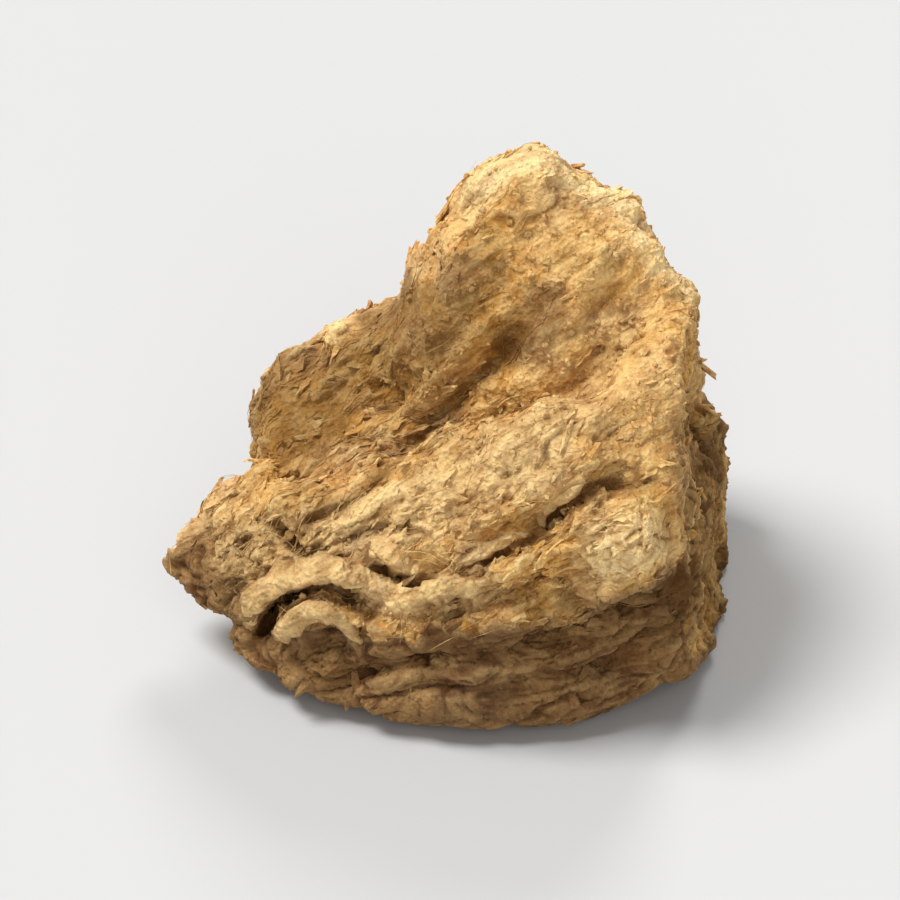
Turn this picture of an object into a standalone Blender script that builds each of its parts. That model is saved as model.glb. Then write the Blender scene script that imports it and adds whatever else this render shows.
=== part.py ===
"""Angelica root: one dried piece of the cut root, lying on a cut side.

The piece is a wedge split out of a thick root. Its grain runs left to right and a little
upwards. Bark is left on the belly and round under the back. Above it the flesh is torn and
drawn up to a peak, the back is a split side, and the right end is a crosscut.

The frame is +X along the grain, +Y away from the viewer and +Z up, with the origin in the
middle of the base. Shapes are worked in millimetres and scaled to metres at the end, since
the remesher's finest cell is a tenth of a thousandth of a unit.
"""

import math

import bmesh
import bpy
import numpy as np
from mathutils import Vector, noise

# Driving sizes of the whole piece, in millimetres
LENGTH = 13.0
DEPTH = 9.9
HEIGHT = 11.1

# Metres in the millimetre that the shapes are worked in
MM = 0.001

# Fineness of the work: the skin's cell in millimetres, the smoothing of the joined lumps and of
# the finished skin in passes, how far a pass goes, and the triangles kept
SKIN_CELL = 0.15
ROUNDING_PASSES = 4
SETTLING_PASSES = 1
SMOOTHING_SHARE = 0.6
TRIANGLES_KEPT = 9300

# Height over the lowest point at which the knife took the base off flat, and how far from that
# plane a point may lie and still be of the base, in millimetres
SOLE_CUT = 0.35
SOLE_SLACK = 0.04

# The knife's crosscut at the right end, turned a little towards the viewer
CROSSCUT_POINT = (6.1, 0.0, 3.5)
CROSSCUT_NORMAL = Vector((0.98, -0.15, 0.10)).normalized()

# How high the viewer looks from, in degrees, on each side that is worked on
FRONT_ELEVATION = 38.0
BACK_ELEVATION = 20.0
END_ELEVATION = 12.0

# How sharp a stroke's crest is, where 1 is a straight-sided ridge, how bold all strokes are, the
# share of its length over which it fades in and out, and how far it wanders, in millimetres
CREST = 1.4
BOLDNESS = 1.25
FADE = 0.15
WANDER = 0.17
WANDER_LENGTH = 1.1

# How squarely the skin must face the viewer for a stroke on that side to reach full height
SQUARE_ENOUGH = 0.3

# Direction of the fibres, and how much longer than wide the marks along them are
GRAIN = Vector((1.0, 0.10, 0.28)).normalized()
GRAIN_STRETCH = 4.0

# The bark comes up to this height, in millimetres, and a little higher towards the right. Its edge
# wavers by the second size, and is as soft as the third
BARK_TOP = 3.0
BARK_RISE = 0.10
BARK_WAVER = 0.7
BARK_EDGE = 0.25

# Widths and heights of the relief that drying left, in millimetres. A wrinkle takes up a share of
# the bark's width, and a torn step on the back drops over a share of its spacing
LUMP_WIDTH, LUMP_HEIGHT = 1.7, 0.28
KNOB_WIDTH, KNOB_HEIGHT = 0.7, 0.20
WRINKLE_WIDTH, WRINKLE_DEPTH, WRINKLE_SHARE = 1.15, 0.30, 0.22
STEP_SPACING, STEP_HEIGHT, STEP_DROP, STEP_WAVER = 1.6, 0.22, 0.15, 0.35
ACROSS_BACK = (-0.28, 0.0, 0.96)

# How squarely the skin must face the crosscut or the back to begin and to be wholly of that side
CROSSCUT_SQUARENESS = (0.75, 0.92)
SPLIT_SQUARENESS = (0.2, 0.6)

# The finish of the dried flesh
FLESH_COLOUR = (0.56, 0.34, 0.14, 1.0)
FLESH_ROUGHNESS = 0.9

# The lumps that the piece is grown of, by their corners in millimetres
PEAK = (
    (1.8, 2.8, 11.2), (2.3, 2.8, 11.1), (0.9, 2.5, 10.8), (2.8, 2.7, 10.6), (4.6, 2.3, 9.3),
    (0.0, 2.6, 9.0), (1.8, 1.6, 11.0), (0.9, 1.5, 10.3), (2.7, 1.5, 10.2), (4.4, 1.3, 8.9),
    (1.2, 3.6, 10.0), (3.4, 3.4, 9.2), (-0.1, 1.6, 8.8), (5.9, 1.0, 8.1), (6.8, 0.0, 7.1),
    (-1.0, 2.7, 7.4), (-1.2, 1.3, 6.8), (-0.8, -0.6, 5.6), (0.9, -0.7, 6.8), (3.4, -0.9, 7.3),
    (6.6, -1.0, 7.2), (0.2, 4.3, 6.0), (4.2, 4.0, 6.6), (-1.6, 3.8, 3.6), (3.6, 4.5, 1.6),
    (7.0, 2.4, 2.0), (-1.6, 1.2, 0.8), (6.6, 1.8, 0.2),
)
SHOULDER = (
    (-1.0, 2.9, 7.2), (-2.6, 2.7, 6.2), (-3.3, 2.4, 5.8), (-4.4, 2.4, 5.0), (-4.4, 1.6, 4.3),
    (-4.4, 0.3, 4.0), (-1.0, 1.4, 6.6), (-2.6, 0.8, 5.0), (-1.0, -0.6, 5.2), (-3.9, -0.6, 3.6),
    (-4.0, 3.2, 2.4), (-0.6, 4.4, 3.6), (-3.4, 2.2, 0.4), (-3.9, -0.4, 1.4), (-0.4, 0.0, 1.4),
)
BAR = (
    (-6.3, -1.2, 2.8), (-6.7, -1.1, 1.9), (-5.8, -2.0, 1.4), (-5.4, -0.5, 3.5), (-4.7, -0.2, 4.1),
    (-3.2, -0.8, 4.5), (-3.1, -2.3, 4.4), (-1.3, -2.8, 5.1), (0.2, -2.9, 6.0), (1.9, -2.8, 6.8),
    (3.3, -2.6, 7.2), (6.4, -1.9, 7.5), (6.9, -0.6, 7.3), (-4.4, -3.0, 2.2), (-1.2, -4.0, 3.8),
    (0.5, -4.3, 4.5), (2.3, -4.2, 5.5), (3.4, -3.9, 6.2), (6.2, -3.0, 6.6), (-3.6, 1.0, 2.2),
    (6.6, 1.4, 2.6), (1.0, 1.8, 2.0), (-3.6, -1.4, 0.8), (5.2, -1.2, 1.0),
)
WEB = (
    (3.9, -2.4, 7.25), (6.3, -1.9, 7.6), (6.1, -1.1, 8.1), (4.3, -1.3, 7.9), (4.4, 0.3, 8.7),
    (5.9, 0.3, 8.2), (3.3, -0.9, 7.2), (5.0, 0.0, 6.0), (6.0, 0.0, 6.0),
)
BELLY = (
    (-2.8, -3.6, 3.1), (-1.2, -4.2, 3.7), (0.4, -4.6, 4.4), (2.2, -4.6, 5.3), (4.2, -4.1, 6.0),
    (6.6, -2.9, 6.0), (-4.5, -2.8, 1.9), (-3.2, -3.9, 2.2), (0.4, -5.1, 2.0), (2.5, -5.1, 2.2),
    (5.1, -4.3, 2.6), (6.9, -2.7, 2.6), (7.3, -0.8, 4.8), (7.3, 1.0, 4.6), (7.2, 1.4, 1.8),
    (7.2, -1.9, 1.8), (-5.0, -2.7, 0.9), (-3.9, -4.0, 0.8), (-1.8, -5.2, 0.7), (0.4, -5.4, 0.7),
    (2.6, -5.2, 0.7), (5.5, -4.3, 0.8), (6.6, -2.6, 0.7), (-3.6, 2.4, 0.0), (-1.2, -4.3, 0.0),
    (2.6, -4.5, 0.0), (5.0, -3.3, 0.0), (6.9, -0.6, 0.0), (6.9, 1.6, 0.0), (2.8, 4.1, 0.0),
    (-0.6, 4.1, 0.0), (-3.8, -3.0, 0.0),
)
BACK_BARK = (
    (-3.8, 3.1, 2.2), (-1.0, 4.7, 2.9), (2.6, 4.9, 3.4), (6.2, 3.5, 3.6), (7.2, 2.6, 3.0),
    (-3.7, 2.9, 0.8), (-1.0, 4.8, 0.8), (2.8, 5.0, 0.9), (6.4, 3.4, 0.9),
    (-3.2, 1.8, 0.0), (-0.8, 3.9, 0.0), (2.8, 4.1, 0.0), (6.4, 2.4, 0.0),
    (-2.0, 0.5, 2.4), (6.2, 0.5, 2.8),
)
LUMPS = {
    "shoulder": SHOULDER,
    "bar": BAR,
    "web": WEB,
    "belly": BELLY,
    "back_bark": BACK_BARK,
}


def clear_scene():
    for obj in list(bpy.data.objects):
        bpy.data.objects.remove(obj, do_unlink=True)


def lump_mesh(name, corners):
    """A lump of the root: the tight skin round its corners."""
    shape = bmesh.new()
    for corner in corners:
        shape.verts.new(corner)
    skin = bmesh.ops.convex_hull(shape, input=shape.verts)
    inside = [v for v in skin["geom_interior"] if isinstance(v, bmesh.types.BMVert)]
    bmesh.ops.delete(shape, geom=inside, context="VERTS")
    bmesh.ops.recalc_face_normals(shape, faces=shape.faces)
    mesh = bpy.data.meshes.new(name)
    shape.to_mesh(mesh)
    shape.free()
    return mesh


def apply_modifiers(obj):
    """Replaces an object's mesh by what its modifiers make of it."""
    graph = bpy.context.evaluated_depsgraph_get()
    made = bpy.data.meshes.new_from_object(obj.evaluated_get(graph))
    obj.modifiers.clear()
    obj.data = made


def even_skin(piece, smoothing_passes):
    """Gives the piece one closed skin of even cells, without what lies inside it."""
    remesh = piece.modifiers.new("even_skin", "REMESH")
    remesh.mode = "VOXEL"
    remesh.voxel_size = SKIN_CELL
    rounding = piece.modifiers.new("rounding", "SMOOTH")
    rounding.factor = SMOOTHING_SHARE
    rounding.iterations = smoothing_passes
    apply_modifiers(piece)
    drop_specks(piece.data)


def drop_specks(mesh):
    """Keeps only the largest of the skins, since folding can leave specks beside or inside it."""
    shape = bmesh.new()
    shape.from_mesh(mesh)
    left = set(shape.verts)
    largest = set()
    while left:
        reached = {left.pop()}
        front = list(reached)
        while front:
            beside = {edge.other_vert(vert) for vert in front for edge in vert.link_edges}
            front = list(beside & left)
            left.difference_update(front)
            reached.update(front)
        largest = max(largest, reached, key=len)
    specks = [vert for vert in shape.verts if vert not in largest]
    bmesh.ops.delete(shape, geom=specks, context="VERTS")
    shape.to_mesh(mesh)
    shape.free()


def grow_piece(collection):
    """The lumps joined and remeshed into one even, softly rounded skin."""
    piece = bpy.data.objects.new("root_piece", lump_mesh("root_piece", PEAK))
    collection.objects.link(piece)
    lumps = []
    for name, corners in LUMPS.items():
        lump = bpy.data.objects.new(name, lump_mesh(name, corners))
        bpy.context.scene.collection.objects.link(lump)
        join = piece.modifiers.new("join_" + name, "BOOLEAN")
        join.operation = "UNION"
        join.object = lump
        lumps.append(lump)
    even_skin(piece, ROUNDING_PASSES)
    for lump in lumps:
        bpy.data.objects.remove(lump, do_unlink=True)
    return piece


def smooth_step(value, low, high):
    share = np.clip((value - low) / (high - low), 0.0, 1.0)
    return share * share * (3.0 - 2.0 * share)


def noise_at(places, width):
    """A smooth noise from -1 to 1 at each place, with marks of this width in millimetres."""
    return np.array([noise.noise(Vector(place) / width) for place in places])


class Skin:
    """The points of the worked skin, with their normals and the edges between them."""

    def __init__(self, mesh):
        self.mesh = mesh
        self.count = len(mesh.vertices)
        place = np.empty(self.count * 3)
        mesh.vertices.foreach_get("co", place)
        self.place = place.reshape(-1, 3)
        edges = np.empty(len(mesh.edges) * 2, np.int64)
        mesh.edges.foreach_get("vertices", edges)
        self.edges = edges.reshape(-1, 2)
        self.refresh()

    def refresh(self):
        """Writes the places to the mesh and reads the new normals from it."""
        self.mesh.vertices.foreach_set("co", self.place.ravel())
        self.mesh.update()
        normal = np.empty(self.count * 3)
        self.mesh.vertices.foreach_get("normal", normal)
        self.normal = normal.reshape(-1, 3)

    def push(self, amount):
        """Moves each point outwards by its amount, in millimetres."""
        self.place += self.normal * np.asarray(amount)[:, None]
        self.refresh()

    def along_grain(self):
        """The places drawn together along the fibres, so that a noise there runs with them."""
        grain = np.array(GRAIN)
        along = (self.place @ grain)[:, None] * grain
        return self.place - along + along / GRAIN_STRETCH


class Side:
    """A side as it is looked at: a point there is how far right and up it is seen, in millimetres."""

    def __init__(self, azimuth, elevation):
        turn, tilt = math.radians(azimuth), math.radians(elevation)
        level = math.cos(tilt)
        self.right = np.array((math.cos(turn), math.sin(turn), 0.0))
        self.near = np.array((math.sin(turn) * level, -math.cos(turn) * level, math.sin(tilt)))
        self.up = np.cross(self.near, self.right)

    def seen(self, skin):
        """Where each point is seen, with a slow wander so that no stroke looks ruled."""
        flat = np.stack((skin.place @ self.right, skin.place @ self.up), axis=1)
        drift = (noise_at(skin.place, WANDER_LENGTH), noise_at(skin.place + 50.0, WANDER_LENGTH))
        return flat + WANDER * np.stack(drift, axis=1)

    def facing(self, skin):
        return smooth_step(skin.normal @ self.near, 0.0, SQUARE_ENOUGH)


FRONT = Side(0.0, FRONT_ELEVATION)
BACK = Side(180.0, BACK_ELEVATION)
RIGHT_END = Side(90.0, END_ELEVATION)
LEFT_END = Side(270.0, END_ELEVATION)


def knife_cut(skin, point, normal):
    """Presses what stands past the knife's plane back on to it."""
    past = np.maximum((skin.place - np.asarray(point)) @ np.asarray(normal), 0.0)
    skin.place -= past[:, None] * np.asarray(normal)
    skin.refresh()


def distance_to(path, flat):
    """How far each point is from the path, and how far along the path it lies, from 0 to 1."""
    path = np.asarray(path)
    lengths = np.linalg.norm(np.diff(path, axis=0), axis=1)
    before = np.concatenate(((0.0,), np.cumsum(lengths)))
    best = np.full(len(flat), np.inf)
    along = np.zeros(len(flat))
    for index, length in enumerate(lengths):
        start, run = path[index], path[index + 1] - path[index]
        share = np.clip((flat - start) @ run / length**2, 0.0, 1.0)
        gap = np.linalg.norm(flat - start - share[:, None] * run, axis=1)
        nearer = gap < best
        best[nearer] = gap[nearer]
        along[nearer] = (before[index] + share[nearer] * length) / before[-1]
    return best, along


def stroke(skin, side, width, height, path):
    """One stroke of the tool: a ridge where the height is positive, a furrow where it isn't."""
    gap, along = distance_to(path, side.seen(skin))
    profile = np.clip(1.0 - gap / width, 0.0, 1.0) ** CREST
    ends = smooth_step(np.minimum(along, 1.0 - along), -FADE / 4.0, FADE)
    skin.push(BOLDNESS * height * profile * ends * side.facing(skin))


def dab(skin, side, radius, height, centre):
    """A round boss where the height is positive, a hollow where it isn't."""
    gap = np.linalg.norm(side.seen(skin) - np.asarray(centre), axis=1)
    skin.push(height * (1.0 - smooth_step(gap, 0.0, radius)) * side.facing(skin))


# Strokes on the front, as half width, height and path: the torn face, the bar and the belly
FRONT_STROKES = (
    # The furrow between the peak and the bar
    (0.80, -0.50, ((-3.9, 3.5), (-2.5, 2.9), (-1.3, 3.0), (-0.4, 4.0), (0.8, 5.1), (1.5, 6.1))),
    # The crest of the bar
    (0.80, 0.25, ((-5.6, 1.7), (-3.2, 2.2), (-1.3, 2.6), (0.1, 3.4), (1.9, 3.8), (5.1, 4.8))),
    # The crack under the bar, and its two lips
    (0.32, -1.05, ((-1.3, 0.45), (0.5, 0.9), (1.3, 1.3), (2.2, 1.9), (3.2, 2.6), (4.8, 3.1))),
    (0.45, 0.25, ((-1.3, -0.2), (-0.5, 0.2), (0.4, 0.3), (1.5, 0.7), (2.6, 1.4))),
    (0.40, 0.18, ((0.2, 1.5), (1.4, 2.1), (2.5, 2.9), (3.8, 3.4))),
    # Two curled folds of the bark on the left of the belly, with the hollows between them
    (0.34, 0.60, ((-4.7, -0.6), (-4.2, 0.0), (-3.5, 0.35), (-2.3, 0.5), (-1.2, 0.1))),
    (0.28, -0.60, ((-4.4, -0.9), (-3.8, -0.2), (-2.9, 0.15), (-2.0, -0.1))),
    (0.32, 0.60, ((-3.9, -1.1), (-3.4, -0.4), (-2.7, -0.15), (-2.0, -0.5), (-1.5, -1.2))),
    (0.34, -0.55, ((-3.3, -1.3), (-2.7, -0.8), (-2.2, -1.2))),
    # Wavy wrinkles on the tail
    (0.28, -0.28, ((-5.9, 1.1), (-4.9, 1.25), (-4.0, 0.95), (-3.0, 1.3), (-2.0, 1.15), (-1.0, 1.5))),
    (0.30, 0.22, ((-5.6, 0.7), (-4.6, 0.8), (-3.7, 0.65), (-2.6, 0.95), (-1.6, 0.8))),
    (0.26, -0.24, ((-4.6, 2.0), (-3.6, 1.75), (-2.6, 2.05), (-1.8, 1.85), (-0.8, 2.3))),
    # Ridges and furrows on the torn face of the peak, drawn down and to the left
    (0.42, 0.24, ((0.6, 8.8), (0.2, 7.4), (-0.6, 6.2), (-1.6, 5.2))),
    (0.38, -0.26, ((1.5, 8.2), (0.9, 6.9), (0.1, 5.9), (-0.8, 4.9), (-2.2, 4.2))),
    (0.42, 0.22, ((3.8, 8.3), (3.3, 7.2), (2.5, 6.2), (1.9, 5.2))),
    (0.34, -0.24, ((4.8, 7.4), (4.2, 6.3), (3.4, 5.4), (2.9, 4.9))),
    (0.36, 0.22, ((-1.5, 6.3), (-2.5, 5.3), (-3.6, 4.4))),
    (0.30, -0.22, ((-1.8, 5.7), (-2.6, 4.9), (-3.8, 4.0))),
    # Wrinkles of the bark along the belly
    (0.34, -0.42, ((-2.8, -1.9), (-1.2, -1.6), (0.4, -1.2), (2.0, -1.1), (3.6, -0.6), (5.2, 0.1))),
    (0.32, -0.36, ((-1.8, -2.4), (-0.4, -2.0), (1.2, -2.0), (2.8, -1.7), (4.2, -1.3), (5.6, -0.6))),
    (0.38, 0.24, ((-1.6, -0.9), (-0.2, -0.6), (1.4, -0.4), (2.8, 0.1))),
    (0.30, -0.34, ((-1.4, -1.1), (-0.6, -0.6), (0.4, -0.2), (1.6, 0.1), (2.6, 0.7))),
    (0.34, 0.24, ((2.4, -0.4), (3.6, 0.1), (4.8, 0.7))),
)
FRONT_DABS = (
    # The dull hollow in the face of the peak, and the swelling on the right of the belly
    (1.3, -0.45, (1.5, 6.1)),
    (1.3, 0.50, (4.1, 1.2)),
    # The pale nub on the left slope, and the knobs of the rim
    (0.45, 0.35, (-2.6, 6.0)),
    (0.50, 0.18, (0.7, 9.6)),
    (0.60, 0.22, (4.2, 8.8)),
    (0.60, 0.15, (4.7, 7.8)),
    (0.60, 0.20, (-0.3, 8.3)),
    # Knobs along the bar
    (0.60, 0.25, (-3.9, 2.3)),
    (0.70, 0.25, (-0.9, 3.1)),
    (0.70, 0.20, (2.4, 4.3)),
    (0.55, 0.20, (4.8, 5.0)),
)

# Strokes on the split back: long torn steps along the grain, and the lip of the bark
BACK_STROKES = (
    (0.42, -0.45, ((-5.4, 5.7), (-3.6, 5.5), (-1.6, 4.6), (0.4, 4.0), (2.6, 3.2), (3.8, 2.9))),
    (0.38, 0.30, ((-5.2, 6.4), (-3.4, 6.2), (-1.4, 5.4), (0.6, 4.7), (2.6, 4.0))),
    (0.35, -0.38, ((-4.6, 7.4), (-3.2, 7.1), (-1.6, 6.4), (0.2, 5.6), (1.6, 5.0))),
    (0.38, 0.25, ((-4.4, 8.3), (-2.8, 7.9), (-1.2, 7.3), (0.2, 6.7))),
    (0.34, -0.32, ((-3.8, 9.2), (-2.6, 8.7), (-1.4, 8.2), (-0.2, 7.6))),
    (0.30, -0.28, ((-3.4, 10.1), (-2.4, 9.8), (-1.4, 9.4), (-0.6, 8.9))),
    (0.40, 0.42, ((-6.2, 2.5), (-4.4, 2.4), (-2.4, 2.0), (0.0, 1.6), (2.2, 1.2), (3.8, 0.9))),
    (0.30, -0.34, ((-6.0, 3.1), (-4.2, 3.0), (-2.2, 2.6), (0.2, 2.1), (2.4, 1.8), (3.8, 1.7))),
    (0.30, -0.30, ((-5.6, 1.1), (-3.6, 1.0), (-1.4, 0.5), (1.0, 0.2), (3.0, -0.1))),
    (0.30, 0.24, ((-5.2, 0.4), (-3.2, 0.2), (-1.0, -0.2), (1.4, -0.5))),
)

# Strokes on the crosscut end: splits that run out from the heart, and the rim of the bark
RIGHT_END_STROKES = (
    (0.32, -0.80, ((0.9, 6.6), (0.6, 5.4), (0.1, 4.2), (-0.6, 2.6), (-1.4, 1.0))),
    (0.26, -0.60, ((0.7, 5.2), (1.2, 3.8), (1.4, 2.2), (1.9, 1.0))),
    (0.26, -0.60, ((0.5, 5.0), (-0.8, 4.9), (-2.4, 4.4))),
    (0.22, -0.40, ((0.0, 3.9), (-1.0, 3.3), (-2.2, 2.8))),
    (0.22, -0.40, ((1.3, 3.2), (2.0, 2.9), (2.8, 2.8))),
    (0.22, -0.35, ((1.0, 6.2), (1.6, 7.4), (1.9, 8.8))),
)
RIGHT_END_DABS = (
    (2.4, -0.50, (0.2, 3.2)),
)

# Strokes on the torn left end, beside the tail
LEFT_END_STROKES = (
    (0.34, -0.38, ((-2.8, 4.4), (-1.6, 3.6), (-0.4, 3.0), (0.6, 2.8))),
    (0.34, 0.28, ((-2.9, 3.4), (-1.8, 2.6), (-0.6, 2.0), (0.6, 1.8))),
    (0.28, -0.34, ((-2.6, 2.2), (-1.4, 1.5), (0.0, 1.1), (1.2, 1.2))),
    (0.28, -0.30, ((-3.2, 5.6), (-2.4, 5.0), (-1.4, 4.6))),
    (0.30, 0.25, ((-3.0, 1.2), (-1.8, 0.7), (-0.4, 0.4))),
)


def work_side(skin, side, strokes, dabs=()):
    for radius, height, centre in dabs:
        dab(skin, side, radius, height, centre)
    for width, height, path in strokes:
        stroke(skin, side, width, height, path)


def bark_share(skin):
    """1 where the skin is bark, 0 where it is torn or cut flesh, with an uneven edge between."""
    waver = BARK_WAVER * noise_at(skin.place, WANDER_LENGTH)
    line = BARK_TOP + BARK_RISE * skin.place[:, 0] + waver
    below = smooth_step(line - skin.place[:, 2], -BARK_EDGE, BARK_EDGE)
    cut = smooth_step(skin.normal @ np.array(CROSSCUT_NORMAL), *CROSSCUT_SQUARENESS)
    return below * (1.0 - cut)


def wrinkle(skin):
    """The drying: narrow wrinkles in the bark, low lumps in the flesh, torn steps down the back."""
    bark = bark_share(skin)
    lumps = noise_at(skin.place, LUMP_WIDTH)
    knobs = noise_at(skin.place, KNOB_WIDTH)
    folds = np.abs(noise_at(skin.along_grain(), WRINKLE_WIDTH))
    rise = skin.place @ np.array(ACROSS_BACK) / STEP_SPACING + STEP_WAVER * lumps
    share = rise % 1.0
    steps = share**2 * smooth_step(share, 1.0, 1.0 - STEP_DROP)
    split = (1.0 - bark) * smooth_step(skin.normal[:, 1], *SPLIT_SQUARENESS)
    relief = LUMP_HEIGHT * lumps + (1.0 - bark) * KNOB_HEIGHT * knobs
    relief -= bark * WRINKLE_DEPTH * (1.0 - smooth_step(folds, 0.0, WRINKLE_SHARE))
    relief += split * STEP_HEIGHT * steps
    skin.push(relief)


def thin_out(piece):
    piece.data.calc_loop_triangles()
    thin = piece.modifiers.new("thin_out", "DECIMATE")
    thin.ratio = TRIANGLES_KEPT / len(piece.data.loop_triangles)
    thin.use_collapse_triangulate = True
    apply_modifiers(piece)


def set_down(piece):
    """Fits the piece to its driving sizes, stands it on a truly flat base and scales it to metres."""
    skin = Skin(piece.data)
    low, high = skin.place.min(axis=0), skin.place.max(axis=0)
    skin.place -= ((low[0] + high[0]) / 2.0, (low[1] + high[1]) / 2.0, low[2])
    skin.place *= np.array((LENGTH, DEPTH, HEIGHT)) / (high - low)
    skin.place[skin.place[:, 2] < SOLE_SLACK, 2] = 0.0
    skin.place *= MM
    skin.refresh()


def flesh_material():
    material = bpy.data.materials.new("dried_flesh")
    material.use_nodes = True
    surface = material.node_tree.nodes["Principled BSDF"]
    surface.inputs["Base Color"].default_value = FLESH_COLOUR
    surface.inputs["Roughness"].default_value = FLESH_ROUGHNESS
    surface.inputs["Metallic"].default_value = 0.0
    return material


clear_scene()
angelica_root = bpy.data.collections.new("angelica_root")
bpy.context.scene.collection.children.link(angelica_root)
root_piece = grow_piece(angelica_root)
root_skin = Skin(root_piece.data)
work_side(root_skin, FRONT, FRONT_STROKES, FRONT_DABS)
work_side(root_skin, BACK, BACK_STROKES)
knife_cut(root_skin, CROSSCUT_POINT, CROSSCUT_NORMAL)
work_side(root_skin, RIGHT_END, RIGHT_END_STROKES, RIGHT_END_DABS)
work_side(root_skin, LEFT_END, LEFT_END_STROKES)
wrinkle(root_skin)
knife_cut(root_skin, (0.0, 0.0, root_skin.place[:, 2].min() + SOLE_CUT), (0.0, 0.0, -1.0))
even_skin(root_piece, SETTLING_PASSES)
thin_out(root_piece)
set_down(root_piece)
root_piece.data.materials.clear()
root_piece.data.materials.append(flesh_material())
root_piece.data.shade_smooth()
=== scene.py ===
"""One dried, cut piece of angelica root, lying on a pale floor.

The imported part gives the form. The pieces here stand in its place with the finer marks that
cutting, tearing and drying left: fine skin, curled edges, flakes, fibres and crumbs.
"""

import math

import bpy
import numpy as np
from mathutils import Matrix, Vector, kdtree, noise


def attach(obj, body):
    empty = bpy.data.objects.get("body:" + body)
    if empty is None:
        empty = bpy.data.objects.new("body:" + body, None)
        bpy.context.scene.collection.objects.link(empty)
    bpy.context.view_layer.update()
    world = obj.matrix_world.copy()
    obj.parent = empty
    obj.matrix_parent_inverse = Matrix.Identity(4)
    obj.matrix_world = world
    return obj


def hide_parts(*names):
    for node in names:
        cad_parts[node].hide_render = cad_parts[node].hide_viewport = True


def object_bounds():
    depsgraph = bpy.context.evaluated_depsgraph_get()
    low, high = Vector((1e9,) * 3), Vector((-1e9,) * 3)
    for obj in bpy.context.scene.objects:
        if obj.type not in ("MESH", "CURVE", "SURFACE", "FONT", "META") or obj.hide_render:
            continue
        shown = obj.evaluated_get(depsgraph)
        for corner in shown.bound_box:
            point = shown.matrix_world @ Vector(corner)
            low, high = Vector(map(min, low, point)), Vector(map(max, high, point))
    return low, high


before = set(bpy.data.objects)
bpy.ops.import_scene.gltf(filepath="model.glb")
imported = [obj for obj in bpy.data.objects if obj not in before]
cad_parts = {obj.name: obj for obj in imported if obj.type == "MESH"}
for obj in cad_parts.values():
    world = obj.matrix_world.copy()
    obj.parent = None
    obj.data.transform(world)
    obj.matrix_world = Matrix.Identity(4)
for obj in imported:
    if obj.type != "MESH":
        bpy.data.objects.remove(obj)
cad_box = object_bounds()

# The root itself: one split and crosscut piece of dried root, with bark left below and torn,
# crumbly flesh above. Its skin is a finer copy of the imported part's, worked with strokes where the
# tissue tore, and with ridges, pits and wrinkles where it shrank as it dried.

# Metres in the millimetre that the skin is worked in, the fineness of its cells, how they are
# eased after the remesh, and the share of the faces that is kept at the end
MM = 0.001
SKIN_CELL = 0.066
EASING_PASSES = 7
EASING_SHARE = 0.6
SKIN_KEPT = 0.64


def unit(values):
    return values / np.linalg.norm(values, axis=-1, keepdims=True)


# The way the fibres run in the flesh, and the wrinkles in the bark
GRAIN = unit((0.84, 0.32, 0.44))
BARK_GRAIN = unit((0.98, 0.05, 0.12))

# The knife's crosscut at the right end: the way it faces, and where the pith shows in it, as far
# back and up, in millimetres
CROSSCUT = unit((0.98, -0.15, 0.10))
PITH = (0.4, 1.4)

# Height up to which bark is left, how it rises to the right, and how far its edge sways broadly,
# wavers, and frays coarsely and finely, in millimetres
BARK_TOP = 3.0
BARK_RISE = 0.10
BARK_SWAY, BARK_WAVER, BARK_FRAY, BARK_FINE_FRAY = 0.9, 0.7, 0.40, 0.12


def smooth_step(value, low, high):
    share = np.clip((value - low) / (high - low), 0.0, 1.0)
    return share * share * (3.0 - 2.0 * share)


def noise_at(places, width):
    """A smooth noise from -1 to 1 with marks of this width, in millimetres."""
    return np.array([noise.noise(Vector(place) / width) for place in places])


def scattered(corners, salt):
    """A number from 0 to 1 for each whole-numbered corner, the same each time."""
    mixed_up = corners @ np.array((73856093, 19349663, 83492791)) + salt * 2654435761
    mixed_up = (mixed_up ^ (mixed_up >> 13)) * 1274126177 & 0xFFFFFFFF
    return ((mixed_up ^ (mixed_up >> 16)) & 0xFFFF) / 65536.0


def cells_at(places, width):
    """How far each place is from its cell's middle and from the cell's edge, in cells."""
    grid = places / width
    base = np.floor(grid).astype(np.int64)
    nearest = np.full(len(places), np.inf)
    second = nearest.copy()
    for step in np.ndindex(3, 3, 3):
        corner = base + np.array(step) - 1
        middle = corner + np.stack([scattered(corner, salt) for salt in (1, 2, 3)], axis=1)
        gap = np.linalg.norm(grid - middle, axis=1)
        second = np.minimum(second, np.maximum(nearest, gap))
        nearest = np.minimum(nearest, gap)
    return nearest, second - nearest


def object_mode(obj, mode):
    bpy.ops.object.select_all(action="DESELECT")
    obj.select_set(True)
    bpy.context.view_layer.objects.active = obj
    bpy.ops.object.mode_set(mode=mode)


def apply_all(obj):
    object_mode(obj, "OBJECT")
    for modifier in list(obj.modifiers):
        bpy.ops.object.modifier_apply(modifier=modifier.name)


def keep_on(mesh, **kept):
    """Stores values at each of the mesh's points for the material."""
    for name, values in kept.items():
        layer = mesh.attributes.new(name, "FLOAT", "POINT")
        layer.data.foreach_set("value", np.asarray(values, np.float32))


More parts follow.
